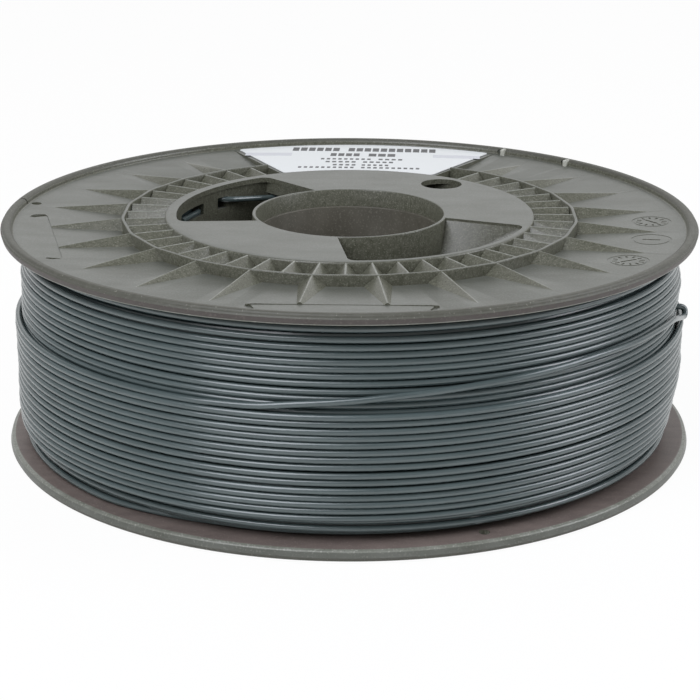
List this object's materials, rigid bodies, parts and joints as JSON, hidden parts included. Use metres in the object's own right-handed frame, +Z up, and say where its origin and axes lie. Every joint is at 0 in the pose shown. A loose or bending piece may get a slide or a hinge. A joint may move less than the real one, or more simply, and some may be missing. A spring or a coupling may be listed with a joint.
{
  "type": "filament spool",
  "caption": "Wound filament spool: two identical ribbed flanges on a hub with a plain spindle bore, hub windows, a drive hole and a blank sloping label plate.",
  "frame": {"origin": "centre of the lower flange's outer face, on the surface that the spool lies on", "axes": "+Z up along the spool's axis, +X to the right and -Y towards the camera of the picture; the label lies on the +Y side"},
  "size_m": [0.2, 0.2, 0.066],
  "materials": {
    "flange_plastic": "moulded warm grey, fine matte grain",
    "hub_plastic": "moulded brown grey, fine matte grain",
    "label_paper": null,
    "filament": "extruded slate grey, satin sheen along the strand"
  },
  "bodies": {
    "root": {"upper_flange": "flange_plastic", "lower_flange": "flange_plastic", "winding_barrel": "hub_plastic", "bore_sleeve": "hub_plastic", "label": "label_paper", "filament_inner_layers": "filament", "filament_layer_below": "filament", "filament_last_layer": "filament", "filament_anchor_end": "filament"}
  },
  "joints": []
}
